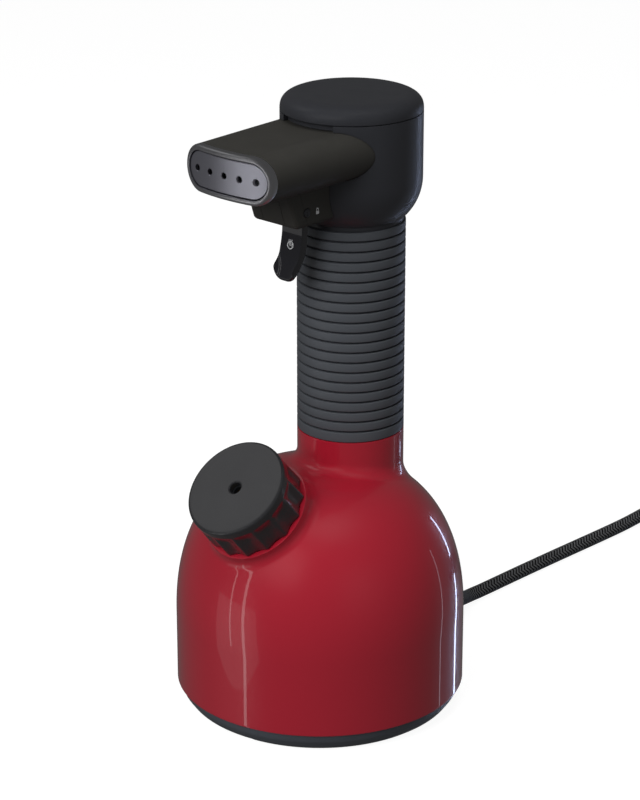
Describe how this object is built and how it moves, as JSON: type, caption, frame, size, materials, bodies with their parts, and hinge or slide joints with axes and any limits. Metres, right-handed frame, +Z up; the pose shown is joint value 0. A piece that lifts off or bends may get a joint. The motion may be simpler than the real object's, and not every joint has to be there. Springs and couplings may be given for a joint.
{
  "type": "handheld steamer",
  "caption": "Upright mains steamer with a round boiler body, ribbed grip, front steam nozzle, squeeze trigger and screw-in filler cap.",
  "frame": {"origin": "on the surface that the steamer stands on, at the middle of the steamer's box without its cord", "axes": "+Z up along the body and grip, -Y towards the steam nozzle, +X to the steamer's left seen from the front; the steamer is close to symmetric about X = 0"},
  "size_m": [0.1856, 0.4536, 0.2998],
  "materials": {
    "red_lacquer": "high gloss lacquered moulding",
    "gloss_black_moulding": "high gloss",
    "satin_black_moulding": "satin",
    "matte_black_moulding": "fine matt texture",
    "soft_grip_moulding": "satin soft-touch",
    "dark_grey_moulding": "satin",
    "grey_rubber": "matt",
    "satin_metal": "satin",
    "dark_satin_metal": "dark satin",
    "stainless_steel": "plain",
    "brass": "plain",
    "white_silicone": "matt",
    "braided_cotton": "black and grey braid",
    "brown_wire": "plain",
    "blue_wire": "plain"
  },
  "bodies": {
    "steamer": {"body_shell": "red_lacquer", "grip_core": "satin_black_moulding", "head_shell": "satin_black_moulding", "head_lid": "satin_black_moulding", "nozzle_shell": "matte_black_moulding", "trigger_housing": "matte_black_moulding", "grip_sleeve": "soft_grip_moulding", "base_cover": "dark_grey_moulding", "boiler_cradle": "dark_grey_moulding", "terminal_block": "dark_grey_moulding", "cord_clamp": "dark_grey_moulding", "steam_chamber": "dark_grey_moulding", "nozzle_pipe": "dark_grey_moulding", "strain_relief": "dark_grey_moulding", "cord_tie": "dark_grey_moulding", "plug_body": "dark_grey_moulding", "foot_pad_left": "grey_rubber", "foot_pad_right": "grey_rubber", "foot_pad_rear": "grey_rubber", "nozzle_bezel": "satin_metal", "plug_pin_left": "satin_metal", "plug_pin_right": "satin_metal", "steam_plate": "dark_satin_metal", "boiler_tank": "stainless_steel", "heating_element": "stainless_steel", "base_screw_1": "stainless_steel", "base_screw_2": "stainless_steel", "base_screw_3": "stainless_steel", "trigger_pivot_pin": "stainless_steel", "valve_spring": "stainless_steel", "steam_outlet_union": "brass", "filler_neck": "brass", "steam_valve_body": "brass", "steam_tube": "white_silicone", "thermostat": "white_silicone", "thermal_fuse": "white_silicone", "power_cord": "braided_cotton", "power_cord_coil": "braided_cotton", "power_cord_tail": "braided_cotton", "cord_inner_end": "braided_cotton", "lead_wire_live": "brown_wire", "lead_wire_neutral": "blue_wire"},
    "trigger": {"trigger": "gloss_black_moulding"},
    "valve_stem": {"valve_stem": "stainless_steel"},
    "trigger_lock": {"trigger_lock_button": "satin_black_moulding"},
    "filler_cap_lift": {"cap_seal": "grey_rubber"},
    "filler_cap": {"cap_knob": "gloss_black_moulding", "cap_threaded_plug": "dark_grey_moulding", "pressure_relief_valve": "brass"}
  },
  "joints": [
    {"name": "trigger_squeeze", "type": "hinge", "parent": "steamer", "child": "trigger", "pos_m": [0, -0.01625, 0.259], "axis": [1, 0, 0], "range_deg": [0, 12], "stiffness_Nm_per_rad": 0.6, "springref_deg": -3.44, "deforming": ["valve_spring"]},
    {"name": "valve_lift", "type": "slide", "parent": "steamer", "child": "valve_stem", "axis": [0, 0, 1], "range_m": [0, 0.0017]},
    {"name": "lock_push", "type": "slide", "parent": "steamer", "child": "trigger_lock", "axis": [-1, 0, 0], "range_m": [0, 0.002]},
    {"name": "cap_unscrew", "type": "hinge", "parent": "filler_cap_lift", "child": "filler_cap", "pos_m": [0, -0.0421, 0.1108], "axis": [0, -0.6626, 0.749], "range_deg": [0, 720]},
    {"name": "cap_lift", "type": "slide", "parent": "steamer", "child": "filler_cap_lift", "axis": [0, -0.6626, 0.749], "range_m": [0, 0.008]}
  ],
  "couplings": [
    {"joint": "valve_lift", "follows": "trigger_squeeze", "m_per_rad": 0.008},
    {"joint": "cap_lift", "follows": "cap_unscrew", "m_per_rad": 0.000636}
  ]
}
